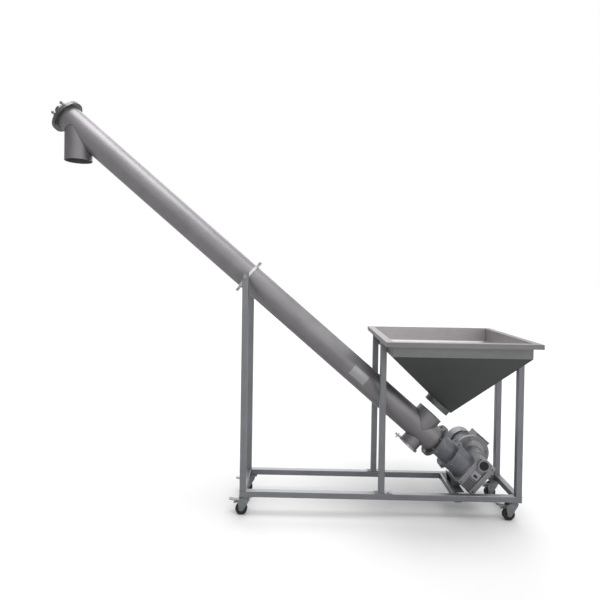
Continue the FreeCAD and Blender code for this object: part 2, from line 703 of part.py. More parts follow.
BARREL = "gear_middle - gear_half - mid_flange_at"
barrel_body = turned("barrel", (60, 0), ("mid_flange_radius", 0), ("mid_flange_radius", 11),
                     ("barrel_radius", 11), ("barrel_radius", BARREL + " - 14"),
                     ("barrel_radius + 4", BARREL + " - 14"), ("barrel_radius + 4", BARREL),
                     (60, BARREL))
barrel_lug = box(11, 96, 24, tube("mid_flange_at", -48, "-mid_flange_radius - 1"), "off")
barrel_keep = rod("barrel_radius", 11, tube("mid_flange_at", 0, 0), "along")
barrel_holes = [rod(4.3, 11, tube("mid_flange_at", "%d * sin(45 * %d + 22.5)" % (MID_CIRCLE, step),
                                  "%d * cos(45 * %d + 22.5)" % (MID_CIRCLE, step)), "along")
                for step in range(8)]
node(cut(fuse(put(barrel_body, tube("mid_flange_at", 0, 0), "along"), cut(barrel_lug, barrel_keep)),
         *barrel_holes), "output_flange")

# ---------------------------------------------------------------- gearbox
NEAR = "gear_middle - gear_half"
WALL_HEIGHT = "gear_low + gear_top"


def gearbox_wall(down):
    """One straight side wall of the gearbox with softened corners."""
    blank = box("rib_plate", "gear_side + gear_back", WALL_HEIGHT, tube(down, "-gear_side", "-gear_low"), "off")
    return common(blank, rod("gear_round", "rib_plate", tube(down, 0, "(gear_top - gear_low) / 2"), "along"))


case_parts = [gearbox_wall(NEAR), gearbox_wall(GEAR_FAR + " - rib_plate"),
              box("2 * gear_half", "2 * gear_core", WALL_HEIGHT + " - 14",
                  tube(NEAR, "-gear_core", "6 - gear_low"), "off"),
              rod("worm_boss", "boss_front", tube("gear_at", 0, "gear_centres"), "front"),
              rod("worm_boss + 12", 95, tube("gear_at", 0, "gear_centres"), "back")]
case_parts += [box("2 * gear_half", 8, 6, tube(NEAR, "-gear_core - 6", off), "off")
               for off in (-96, -80, -64, -48, -32)]
cavity = [rod("wheel_space", "2 * gear_half - 40", tube(NEAR + " + 20", 0, 0), "along"),
          rod("hub_radius + running", "2 * gear_half", tube(NEAR, 0, 0), "along"),
          rod(29, "boss_front + 95", tube("gear_at", "-boss_front", "gear_centres"), "back")]
cover_tapped = [rod(4, 12, tube(GEAR_FAR, "60 * sin(60 * %d + 30)" % step, "60 * cos(60 * %d + 30)" % step),
                    "against") for step in range(6)]
node(cut(fuse(*case_parts), *cavity, *cover_tapped), "gearbox_housing")

cover_disc = put(turned("cover", (0, 0), (72, 0), (72, 5), (69, 8), (46, 8), (42, 12), (0, 12)),
                 tube(GEAR_FAR, 0, 0), "along")
cover_bores = [rod(4.3, 12, tube(GEAR_FAR, "60 * sin(60 * %d + 30)" % step, "60 * cos(60 * %d + 30)" % step),
                   "along") for step in range(6)]
node(cut(cover_disc, *cover_bores), "gearbox_cover")

WORM_FRONT = tube("gear_at", "-boss_front", "gear_centres")
node(put(turned("cap", (0, -5), ("cap_radius - 2", -5), ("cap_radius", -3), ("cap_radius", 0), (29, 0),
                (29, 26), ("15 + running", 26), ("15 + running", 6), (0, 6)), WORM_FRONT, "back"),
     "worm_cap")

wheel = design("wheel")
outline = sketch(wheel)
circle(outline, 73.5)
circle(outline, "journal_radius")
pad(wheel, outline, 40, True)
gap_sketch = sketch(wheel)
polygon(gap_sketch, (66, -3), (80, -6), (80, 6), (66, 3))
gap = wheel.newObject("PartDesign::Pocket", "Pocket")
gap.Profile = gap_sketch
gap.Type = 1
gap.Midplane = True
repeat(wheel, gap, 20)
hub_sketch = sketch(wheel)
hub_sketch.setExpression("AttachmentOffset.Base.z", formula("gear_at - gear_middle"))
circle(hub_sketch, "hub_radius")
circle(hub_sketch, "journal_radius")
pad(wheel, hub_sketch, "2 * gear_half - 6", True)
node(put(wheel, tube("gear_at", 0, 0), "against"), "worm_wheel")

WORM_START = "-boss_front + 8"
worm_outline = [(0, 0), (15, 0), (15, "boss_front - 72"), (20, "boss_front - 68")]
for step in range(6):
    ridge = "boss_front - 60 + %d" % (step * 18)
    worm_outline += [(20, ridge), (24.5, ridge + " + 4"), (24.5, ridge + " + 8"), (20, ridge + " + 12")]
back_y = "boss_front - 8"
worm_outline += [(20, back_y + " + 62"), (17, back_y + " + 66"), (17, back_y + " + motor_face + 34"),
                 (54, back_y + " + motor_face + 34"), (54, back_y + " + motor_face + 164"),
                 (12, back_y + " + motor_face + 164"), (12, back_y + " + motor_face + motor_length + 56"),
                 (0, back_y + " + motor_face + motor_length + 56")]
node(put(turned("worm", *worm_outline), tube("gear_at", WORM_START, "gear_centres"), "back"),
     "worm_shaft")


# ---------------------------------------------------------------- motor
def motor_point(y, down=0, off=0):
    return tube("gear_at + (%s)" % down, y, "gear_centres + (%s)" % off)


MOTOR_BOLTS = [(107.5 * x, 107.5 * y) for x, y in ((0.7071, 0.7071), (-0.7071, 0.7071),
                                                   (-0.7071, -0.7071), (0.7071, -0.7071))]
input_body = put(turned("input", ("17 + running", 0), (66, 0), (66, 10), (74, 16),
                        (94, "motor_face - 95 - 14"), ("motor_flange_radius", "motor_face - 95 - 14"),
                        ("motor_flange_radius", "motor_face - 95"), ("17 + running", "motor_face - 95")),
                 motor_point(95), "back")
input_holes = [rod(6.3, 14, motor_point("motor_face - 14", down, off), "back") for down, off in MOTOR_BOLTS]
node(cut(input_body, *input_holes), "input_flange")

motor = design("motor")
outline = sketch(motor, "XZ_Plane")
polygon(outline, (20, 0), ("motor_flange_radius", 0), ("motor_flange_radius", 12),
        ("motor_radius - 1", 12), ("motor_radius - 9", 16), ("motor_radius - 9", "motor_length"),
        ("12 + running", "motor_length"),
        ("12 + running", "motor_length - 18"), (60, "motor_length - 18"), (60, 26), (20, 26))
revolve(motor, outline)
fin_sketch = sketch(motor)
polygon(fin_sketch, ("motor_radius - 12", -1.6), ("motor_radius", -1.1), ("motor_radius", 1.1),
        ("motor_radius - 12", 1.6))
fin_start = motor.newObject("PartDesign::Pad", "Pad")
fin_sketch.AttachmentOffset.Base = Vector(0, 0, 1)
fin_sketch.setExpression("AttachmentOffset.Base.z", "14")
fin_start.Profile = fin_sketch
fin_start.setExpression("Length", formula("motor_length - 14"))
repeat(motor, fin_start, 36)
motor_blank = put(motor, motor_point("motor_face"), "back")
motor_holes = [rod(6.3, 12, motor_point("motor_face", down, off), "back") for down, off in MOTOR_BOLTS]
node(cut(motor_blank, *motor_holes), "motor_housing")

FAN_Y = "motor_face + motor_length + 22"
blades = [rod(80, 3, motor_point(FAN_Y), "back"), rod(22, 30, motor_point(FAN_Y), "back")]
for step in range(3):
    blade = doc.addObject("Part::Box", "Blade")
    blade.setExpression("Length", "150")
    blade.setExpression("Width", "3")
    blade.setExpression("Height", "24")
    blade.Placement.Base = Vector(-75, -1.5, 0)
    turned_blade = doc.addObject("Part::Compound", "Group")
    turned_blade.Links = [blade]
    turned_blade.Placement.Rotation = Rotation(Vector(0, 0, 1), 30 + 60 * step)
    blades.append(put(group(turned_blade), motor_point(FAN_Y), "back"))
node(cut(fuse(*blades), rod(12, 60, motor_point(FAN_Y + " - 10"), "back")), "motor_fan")

COWL_Y = "motor_face + motor_length - 14"
cowl_depth = "motor_end - (%s)" % COWL_Y
cowl_body = put(turned("cowl", ("motor_radius", 0), ("cowl_radius", 0), ("cowl_radius", cowl_depth + " - 8"),
                       ("cowl_radius - 8", cowl_depth), (0, cowl_depth), (0, cowl_depth + " - 2"),
                       ("cowl_radius - 9", cowl_depth + " - 2"), ("motor_radius", cowl_depth + " - 9")),
                motor_point(COWL_Y), "back")
cowl_slots = []
for radius in (30, 46, 62, 78):
    ring = pipe(radius, 7, 10, motor_point("motor_end - 6"), "back")
    bars = [box(200, 12, 7, motor_point("motor_end - 7", -100, -3.5), "off"),
            box(7, 12, 200, motor_point("motor_end - 7", -3.5, -100), "off")]
    cowl_slots.append(cut(ring, *bars))
node(cut(cowl_body, *cowl_slots), "fan_cowl")

BOX_Y = "motor_face + 36"
box_base = "gear_centres + motor_radius - 22"
BOX_START = "gear_at - 39"
terminal = box(114, 120, "lid_top - 6 - (%s)" % box_base, tube(BOX_START, BOX_Y, box_base), "off")
terminal_room = box(106, 112, "lid_top - 6 - (gear_centres + motor_radius + 4)",
                    tube(BOX_START + " + 4", BOX_Y + " + 4", "gear_centres + motor_radius + 4"), "off")
motor_core = rod("motor_radius", "motor_length", motor_point("motor_face"), "back")
gland_hole = rod(10, 8, tube("gear_at", BOX_Y + " + 114", 214), "back")
node(cut(terminal, terminal_room, motor_core, gland_hole), "terminal_box")
lid_step = box(106, 112, 3, tube(BOX_START + " + 4", BOX_Y + " + 4", "lid_top - 9"), "off")
lid_sheet = box(118, 124, 6, tube(BOX_START + " - 2", BOX_Y + " - 2", "lid_top - 6"), "off")
node(fuse(lid_sheet, lid_step), "terminal_lid")
GLAND = tube("gear_at", BOX_Y + " + 116", 214)
gland_parts = [rod(10, 5, GLAND, "back"), hexagon(14, 8, shift(GLAND, "back", 4), "back"),
               cone(12.5, 9, 16, shift(GLAND, "back", 12), "back")]
node(cut(fuse(*gland_parts), rod(5, 30, GLAND, "back")), "cable_gland")

drive_bolts = round_bolts(8, "mid_flange_at - 11", MID_CIRCLE, 4, 30, "along", 22)
drive_bolts += [bolt(4, 18, tube(GEAR_FAR + " + 8", "60 * sin(60 * %d + 30)" % step,
                                 "60 * cos(60 * %d + 30)" % step), "against") for step in range(6)]
for down, off in MOTOR_BOLTS:
    start = motor_point("motor_face - 14", down, off)
    drive_bolts += [bolt(6, 40, start, "back"), nut(6, shift(start, "back", 26), "back")]
node(group(*drive_bolts), "drive_bolts")

# ---------------------------------------------------------------- drive cradle
CRADLE_FACE = "-gear_low - plate"
CRADLE_LOW = ("gear_at - 87", CRADLE_FACE)
CRADLE_HIGH = ("gear_at - 17", CRADLE_FACE)


def cradle_corner(down, off):
    x, y, z = tube(down, 0, off)
    return (x + " - beam_x + origin_x", z + " - (%s) - plate" % RAIL_TOP)


cheeks = design("cheeks")
outline = sketch(cheeks, "XZ_Plane")
polygon(outline, (22, 0), (72, 0), cradle_corner(*CRADLE_HIGH), cradle_corner(*CRADLE_LOW))
pad(cheeks, outline, 120, True)
put(cheeks, floor("beam_x", 0, RAIL_TOP + " + plate"))
between = box(200, 108, 200, floor("beam_x - 60", -54, RAIL_TOP + " + plate"))
cradle_foot = box(60, 300, "plate", floor("beam_x + 18", -150, RAIL_TOP))
cradle_top = box(70, 140, "plate", tube(CRADLE_LOW[0], -70, CRADLE_LOW[1]), "off")
node(fuse(cut(cheeks, between), cradle_foot, cradle_top), "drive_cradle")

# ---------------------------------------------------------------- casters
LEG = ((26, 116.5), (26, 106), (-17, 33), (-25, 27), (-38, 27), (-46, 34), (-53, 86), (-53, 100), (-26, 116.5))
PEDAL = ((-38, 98), (-80, 102), (-112, 107), (-115, 103), (-82, 97), (-58, 93.5), (-62, 90),
         (-85, 83.5), (-86, 79), (-60, 83), (-44, 87), (-38, 90))
PEDAL_PIN = (-44, 94)
FORK_HALF = "fork_gap + fork_wall"
caster_plates = []
for end, face in (("left", "front"), ("left", "back"), ("right", "front"), ("right", "back")):
    swivel_x = "caster_x" if end == "left" else "frame_length - caster_x"
    swivel_y = "-caster_y" if face == "front" else "caster_y"

    def near(x, y, z, swivel_x=swivel_x, swivel_y=swivel_y):
        return floor("%s + (%s)" % (swivel_x, x), "%s + (%s)" % (swivel_y, y), z)

    raceway = rod(25, 10, near(0, 0, 117))
    kingpin = fuse(rod("kingpin_radius", 12, near(0, 0, 109)), rod(11, 4.2, near(0, 0, 109)))
    mounting = box(84, 64, 3, near(-42, -32, "rail_bottom - 3"))
    caster_plates.append(fuse(mounting, raceway, kingpin))

    legs = design("legs")
    outline = sketch(legs, "XZ_Plane")
    polygon(outline, *LEG)
    pad(legs, outline, "2 * (%s)" % FORK_HALF, True)
    put(legs, near(0, 0, 0))
    room = box(120, "2 * fork_gap", 93.5, near(-80, "-fork_gap", 20))
    crown = rod(27, 3, near(0, 0, 113.5))
    bore = rod("kingpin_radius + running", 10, near(0, 0, 110))
    axle_start = near("-trail", "-(%s) - 3" % FORK_HALF, "wheel_radius")
    axle = rod("axle_radius", "2 * (%s) + 6" % FORK_HALF, axle_start, "back")
    rivets = [rod(9, 3, axle_start, "back"),
              rod(9, 3, shift(axle_start, "back", "2 * (%s) + 3" % FORK_HALF), "back")]
    pin = rod(3, "2 * (%s)" % FORK_HALF, near(PEDAL_PIN[0], "-(%s)" % FORK_HALF, PEDAL_PIN[1]), "back")
    fork = cut(fuse(cut(legs, room), crown), bore)
    node(fuse(fork, axle, *rivets, pin), "fork_%s_%s" % (end, face))

    wheel_body = turned("wheel", ("axle_radius + running", -17), (12, -17), (12, -12.5), (29, -12.5),
                        (31, -15), (37, -15), ("wheel_radius", -11), ("wheel_radius", 11), (37, 15),
                        (31, 15), (29, 12.5), (12, 12.5), (12, 17), ("axle_radius + running", 17))
    node(put(wheel_body, near("-trail", 0, "wheel_radius"), "back"), "wheel_%s_%s" % (end, face))

    lever = design("lever")
    outline = sketch(lever, "XZ_Plane")
    polygon(outline, *PEDAL)
    circle(outline, "3 + running", *PEDAL_PIN)
    pad(lever, outline, 30, True)
    node(put(lever, near(0, 0, 0)), "pedal_%s_%s" % (end, face))
node(group(*caster_plates), "caster_plates")

# ---------------------------------------------------------------- check and write
doc.recompute()
faults = [item.Label for item in doc.Objects if "Invalid" in item.State or "Error" in item.State]
faults += [item.Label for item in NODES if item.Shape.isNull() or not item.Shape.isValid()]
if faults:
    raise RuntimeError("faulty pieces: " + ", ".join(faults))

os.makedirs("parts", exist_ok=True)
for piece in NODES:
    piece.Shape.exportStep("parts/%s.step" % piece.Label)
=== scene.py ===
import json
import math

import bmesh
import bpy
import numpy as np
from mathutils import Matrix, Vector


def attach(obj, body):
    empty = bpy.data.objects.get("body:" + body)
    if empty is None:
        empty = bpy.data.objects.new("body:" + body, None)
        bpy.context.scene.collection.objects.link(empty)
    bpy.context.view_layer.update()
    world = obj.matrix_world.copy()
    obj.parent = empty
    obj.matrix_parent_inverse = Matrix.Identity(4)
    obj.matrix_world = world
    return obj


# Looks of a mobile stainless screw conveyor, in metres, in the frame of its CAD model.
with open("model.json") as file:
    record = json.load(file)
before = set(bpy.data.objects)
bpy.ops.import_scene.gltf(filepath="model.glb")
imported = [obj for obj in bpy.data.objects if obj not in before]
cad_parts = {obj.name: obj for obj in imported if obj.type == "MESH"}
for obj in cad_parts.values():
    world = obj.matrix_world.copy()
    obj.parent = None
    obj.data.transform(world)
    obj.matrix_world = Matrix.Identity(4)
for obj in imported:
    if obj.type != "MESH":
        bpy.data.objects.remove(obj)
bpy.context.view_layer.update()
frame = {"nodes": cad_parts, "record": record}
nodes = frame["nodes"]

# ---------------------------------------------------------------- sizes repeated from the CAD
MM = 0.001
TILT = math.radians(40.5)
PIVOT = Vector((-226.4, 0, 1608.5)) * MM
ALONG = Vector((math.cos(TILT), 0, -math.sin(TILT)))
OFF = Vector((math.sin(TILT), 0, math.cos(TILT)))
ACROSS = Vector((0, 1, 0))
DOWN = Vector((0, 0, -1))
FRAME_LEFT = -246.4
FRAME_RIGHT = FRAME_LEFT + 1885
TUBE_RADIUS = 92
TUBE_TOP_FACE = -1701.4
TUBE_LOW_FACE = 1741.4
INLET_DOWN = 1598
PORT_DOWN = 1630
SPOUT_DOWN = -1606
PIPE_RADIUS = 91.5
PORT_RADIUS = 66
SECTION = 40
POST_Y = 180
LEFT_POST_X = FRAME_LEFT + 20
MID_POST_X = FRAME_LEFT + 951
RIGHT_POST_X = FRAME_LEFT + 1865
BEAM_X = FRAME_LEFT + 1458
RAIL_MIDDLE = 150
RAIL_TOP = 170
RIM_UNDER = 1220
HOPPER_X = 1161.6
BIN_HALF = (437, 396.5)
BIN_BOTTOM = 1124
RAIL_INNER_Y = POST_Y - SECTION / 2
RAIL_UNDER = 129.6
CASTER_PLATE_HALF = 36
CASTER_PLATE_X = (FRAME_LEFT + 42, FRAME_LEFT + 1843)
OUTLET_HALF = 78
OUTLET_OFF = 222
WORM_DOWN = 2075
WORM_OFF = 100
BAR_DOWN = (2035, 2141)
BAR_FACE = -100
POCKET_FACE = -84
BOX_MIDDLE = (2093, 242)
LID_TOP = 237
COWL_RADIUS = 98.5
COWL_SCREW_Y = 340


def at(x, y, z):
    """A point in millimetres, as metres."""
    return Vector((x, y, z)) * MM


def tube_point(down, y, off):
    """A point given along the tube from its pivot, across it, and off its axis."""
    return PIVOT + (ALONG * down + ACROSS * y + OFF * off) * MM


# ---------------------------------------------------------------- materials
def linear(*shades):
    """Display shades of 0 to 255 as linear light."""
    return tuple((s / 255 / 12.92 if s < 10 else ((s / 255 + 0.055) / 1.055) ** 2.4) for s in shades)


def link_in(tree, kind, settings=None, **inputs):
    made = tree.nodes.new("ShaderNode" + kind)
    for key, setting in (settings or {}).items():
        setattr(made, key, setting)
    for key, given in inputs.items():
        socket = made.inputs[key.replace("_", " ")]
        if isinstance(given, bpy.types.NodeSocket):
            tree.links.new(given, socket)
        else:
            socket.default_value = given
    return made


def spread(tree, source, low, high, start=0.3, end=0.7):
    """A value between start and end, the middle of a noise, stretched to run from low to high."""
    made = link_in(tree, "MapRange", Value=source)
    for key, number in (("From Min", start), ("From Max", end), ("To Min", low), ("To Max", high)):
        made.inputs[key].default_value = number
    return made.outputs[0]


def arithmetic(tree, operation, first, second):
    made = tree.nodes.new("ShaderNodeMath")
    made.operation = operation
    for socket, given in zip(made.inputs, (first, second)):
        if isinstance(given, bpy.types.NodeSocket):
            tree.links.new(given, socket)
        else:
            socket.default_value = given
    return made.outputs[0]


def times(tree, first, second):
    return arithmetic(tree, "MULTIPLY", first, second)


def tinted(tree, tone, shade):
    made = link_in(tree, "VectorMath", {"operation": "SCALE"}, Scale=shade)
    made.inputs[0].default_value = tone
    return made.outputs[0]


def surface(name, tone, rough, metallic=0.7, turn=0.0, grain=(3, 3, 3), contrast=0.08, patches=0.07,
            patch_size=160, bump=0.15, depth=0.05, pits=0.0, pit_size=2.0, spread_rough=0.07, sheen=0.0,
            split=None):
    """A procedural finish: grain lines, cloudy patches and fine pits; sizes in millimetres.

    split gives a mask and the tone that the finish has where the mask is 1.
    """
    made = bpy.data.materials.new(name)
    made.use_nodes = True
    tree = made.node_tree
    shader = tree.nodes["Principled BSDF"]
    coord = tree.nodes.new("ShaderNodeTexCoord").outputs["Object"]
    lines = link_in(tree, "Mapping", {"vector_type": "TEXTURE"}, Vector=coord, Rotation=(0, turn, 0),
                    Scale=tuple(size * MM for size in grain)).outputs[0]
    fine = link_in(tree, "TexNoise", Vector=lines, Scale=1.0, Detail=6.0, Roughness=0.7).outputs[0]
    wide = link_in(tree, "TexNoise", Vector=lines, Scale=0.16, Detail=3.0, Roughness=0.6).outputs[0]
    cloud = link_in(tree, "TexNoise", Vector=coord, Scale=1 / (patch_size * MM), Detail=5.0,
                    Roughness=0.6, Distortion=0.4).outputs[0]
    shade = times(tree, spread(tree, fine, 1 - contrast, 1 + contrast),
                  spread(tree, wide, 1 - contrast / 2, 1 + contrast / 2))
    shade = times(tree, shade, spread(tree, cloud, 1 - patches, 1 + patches))
    height = fine
    if pits:
        specks = link_in(tree, "TexNoise", Vector=coord, Scale=1 / (pit_size * MM), Detail=3.0,
                         Roughness=0.6).outputs[0]
        shade = times(tree, shade, spread(tree, specks, 1 - pits, 1 + pits))
        height = times(tree, fine, specks)
    colour = tinted(tree, tone, shade)
    if split:
        mask, other_tone = split(tree, coord)
        blend = link_in(tree, "Mix", {"data_type": "VECTOR"})
        tree.links.new(mask, blend.inputs[0])
        tree.links.new(colour, blend.inputs[4])
        tree.links.new(tinted(tree, other_tone, shade), blend.inputs[5])
        colour = blend.outputs[1]
    tree.links.new(colour, shader.inputs["Base Color"])
    smudge = times(tree, spread(tree, cloud, 1 - spread_rough, 1 + spread_rough),
                   spread(tree, fine, rough * (1 - spread_rough), rough * (1 + spread_rough)))
    tree.links.new(smudge, shader.inputs["Roughness"])
    shader.inputs["Metallic"].default_value = metallic
    if sheen:
        shader.inputs["Coat Weight"].default_value = sheen
        shader.inputs["Coat Roughness"].default_value = 0.3
    relief = link_in(tree, "Bump", Strength=bump, Distance=depth * MM, Height=height)
    tree.links.new(relief.outputs[0], shader.inputs["Normal"])
    made.diffuse_color = (*tone, 1)
    return made


def inner_wall_painted_light(tree, coord):
    """1 on the sheet's faces towards the bin's middle, with their lighter tone, which is painted light; the
    outer faces keep a darker tone as painted shade.
    """
    parts = link_in(tree, "SeparateXYZ", Vector=coord).outputs
    reach = []
    for index, middle, half in ((0, HOPPER_X, BIN_HALF[0]), (1, 0, BIN_HALF[1])):
        away = arithmetic(tree, "SUBTRACT", parts[index], middle * MM)
        away = arithmetic(tree, "ABSOLUTE", away, 0.0)
        reach.append(arithmetic(tree, "LESS_THAN", away, (half - 1) * MM))
    return times(tree, *reach), LIT_INSIDE_TONE


def lit_upper_shaded_lower(tree, coord):
    """1 on faces that look up, which are the inside of the funnel; they get the lighter tone as painted
    light, while the down-facing outside keeps the darker tone as painted shade.
    """
    facing = tree.nodes.new("ShaderNodeNewGeometry").outputs["True Normal"]
    height = link_in(tree, "SeparateXYZ", Vector=facing).outputs[2]
    return arithmetic(tree, "GREATER_THAN", height, 0.0), LIT_INSIDE_TONE


LONG, THIN = 60, 1.6
# Lighter tone for the hopper's inner faces and the cone's upper faces: painted light on the same steel as
# their darker outer faces.
LIT_INSIDE_TONE = linear(186, 183, 184)
FRAME_TONE = linear(138, 140, 144)
frame_along = surface("frame_brushed_x", FRAME_TONE, 0.4, 0.8, grain=(LONG, THIN, THIN), patches=0.08)
frame_across = surface("frame_brushed_y", FRAME_TONE, 0.4, 0.8, grain=(THIN, LONG, THIN), patches=0.08)
frame_up = surface("frame_brushed_z", FRAME_TONE, 0.4, 0.8, grain=(THIN, THIN, LONG), patches=0.08)
finishes = {
    # The cradle's darker tone than the frame steel is painted shade under the gearbox.
    "cradle_steel": surface("cradle_brushed_painted_shade", linear(94, 97, 98), 0.46, turn=TILT,
                            grain=(LONG, THIN, THIN), patches=0.14, patch_size=60),
    "tube_steel": surface("tube_brushed", linear(140, 137, 141), 0.44, 0.72, turn=TILT, grain=(90, 3, 3),
                          contrast=0.04, patches=0.1, patch_size=220, bump=0.02, depth=0.005,
                          spread_rough=0.02),
    "flange_steel": surface("flange_turned", linear(112, 112, 113), 0.34, 0.9, turn=TILT,
                            grain=(0.8, 14, 14), contrast=0.1, patches=0.1, patch_size=50),
    "clamp_steel": surface("clamp_polished", linear(196, 196, 197), 0.24, 0.9, grain=(2, 2, 2),
                           contrast=0.05, patches=0.06, patch_size=30),
    "plate_blank": surface("plate_satin", linear(176, 175, 177), 0.4, turn=TILT, grain=(30, 0.8, 0.8),
                           contrast=0.06, patches=0.05, patch_size=40),
    "screw_steel": surface("screw_worn", linear(160, 160, 162), 0.3, 0.85, turn=TILT, grain=(4, 20, 20),
                           contrast=0.14, patches=0.16, patch_size=70),
    "hopper_rim_steel": surface("rim_brushed", linear(136, 134, 135), 0.42, 0.6, grain=(LONG, THIN, THIN),
                                contrast=0.06, patches=0.06),
    # The hopper's inner faces get a lighter tone than its outer faces: painted light inside, painted shade
    # outside.
    "hopper_steel": surface("hopper_brushed_painted_light", linear(134, 134, 134), 0.42, grain=(90, 90, 1.8),
                            contrast=0.07, patches=0.07, split=inner_wall_painted_light),
    # The cone's dark tone is painted shade on its down-facing outside; its up-facing inside gets the lighter
    # tone as painted light.
    "cone_steel": surface("cone_brushed_painted_shade", linear(84, 88, 86), 0.5, 0.55, grain=(4, 4, 4),
                          contrast=0.05, patches=0.06, patch_size=240, split=lit_upper_shaded_lower),
    "drive_casting": surface("casting_painted", linear(112, 115, 122), 0.4, 0.35, grain=(5, 5, 5),
                             contrast=0.06, patches=0.14, patch_size=60, pits=0.07, bump=0.35, depth=0.25,
                             sheen=0.15),
    "gearbox_alloy": surface("gearbox_cast", linear(150, 150, 154), 0.48, 0.45, grain=(4, 4, 4),
                             contrast=0.1, patches=0.12, patch_size=45, pits=0.12, pit_size=1.4,
                             bump=0.5, depth=0.3),
    "motor_alloy": surface("motor_cast", linear(140, 141, 145), 0.5, 0.45, grain=(4, 4, 4),
                           contrast=0.1, patches=0.12, patch_size=50, pits=0.12, pit_size=1.4,
                           bump=0.5, depth=0.3),
    "motor_cover": surface("cover_painted", linear(120, 123, 128), 0.44, 0.3, grain=(6, 6, 6),
                           patches=0.1, patch_size=50, pits=0.05, bump=0.25, sheen=0.2),
    "black_plastic": surface("plastic_black", linear(22, 22, 23), 0.5, 0.0, grain=(1.5, 1.5, 1.5),
                             contrast=0.14, patches=0.12, patch_size=20, pits=0.1, pit_size=0.6,
                             bump=0.35, depth=0.15),
    "seal_rubber": surface("rubber_black", linear(34, 34, 34), 0.68, 0.0, grain=(1.5, 1.5, 1.5),
                           contrast=0.14, patches=0.12, patch_size=20, pits=0.1, bump=0.3),
    "gear_bronze": surface("bronze_machined", linear(176, 132, 74), 0.34, 0.95, turn=TILT,
                           grain=(8, 1, 1), contrast=0.12, patches=0.12, patch_size=20),
    "gear_steel": surface("steel_ground", linear(150, 151, 153), 0.28, 0.95, grain=(1, 8, 1),
                          contrast=0.1, patches=0.12, patch_size=30),
    "bolt_steel": surface("bolt_plated", linear(158, 158, 160), 0.3, 0.9, grain=(2, 2, 2),
                          contrast=0.08, patches=0.18, patch_size=12),
    "caster_zinc": surface("zinc_plated", linear(142, 145, 146), 0.36, 0.85, grain=(3, 3, 3),
                           contrast=0.07, patches=0.2, patch_size=22, bump=0.2),
    "pedal_zinc": surface("zinc_worn", linear(126, 131, 132), 0.4, 0.85, grain=(3, 3, 3),
                          contrast=0.1, patches=0.26, patch_size=16, bump=0.25),
    "caster_tyre": surface("tyre_moulded", linear(36, 36, 37), 0.6, 0.0, grain=(2, 2, 2),
                           contrast=0.12, patches=0.3, patch_size=18, pits=0.15, pit_size=1.0,
                           bump=0.4, depth=0.3),
}
weld_finish = surface("weld_bead", linear(112, 108, 104), 0.36, 0.85, grain=(2.4, 2.4, 2.4),
                      contrast=0.16, patches=0.3, patch_size=14, bump=0.4)
dark_window = surface("window_dark", linear(40, 40, 43), 0.3, 0.0, grain=(2, 2, 2), contrast=0.1,
                      patches=0.14, patch_size=14, pits=0.06, bump=0.1)
# Dark tone of the gearbox pocket and its ribs is painted shade in the recess.
recess_shade_finish = surface("recess_painted_shade", linear(68, 69, 74), 0.5, 0.35, grain=(3, 3, 3),
                        contrast=0.12, patches=0.22, patch_size=24, pits=0.14, bump=0.5, depth=0.3)
BY_NODE = {
    "front_rail": frame_along, "back_rail": frame_along, "end_rails": frame_across,
    "drive_beam": frame_across, "left_posts": frame_up, "mid_posts": frame_up,
    "right_posts": frame_up, "foot_plates": frame_along,
    # The saddle's bright tone is a painted highlight for the light the strap catches.
    "saddle": surface("saddle_painted_highlight", linear(205, 204, 205), 0.34, 0.6, turn=TILT,
                      grain=(THIN, LONG, LONG), contrast=0.06, bump=0.05),
    "hopper_outlet": surface("collar_turned", linear(106, 108, 107), 0.45, 0.6, turn=TILT,
                             grain=(LONG, LONG, THIN), contrast=0.06),
}
slot_of = {part["node"]: part["material_slot"] for part in frame["record"]["subparts"]}
for label, piece in nodes.items():
    finish = BY_NODE.get(label) or finishes[slot_of[label]]
    for slot in piece.material_slots:
        slot.material = finish


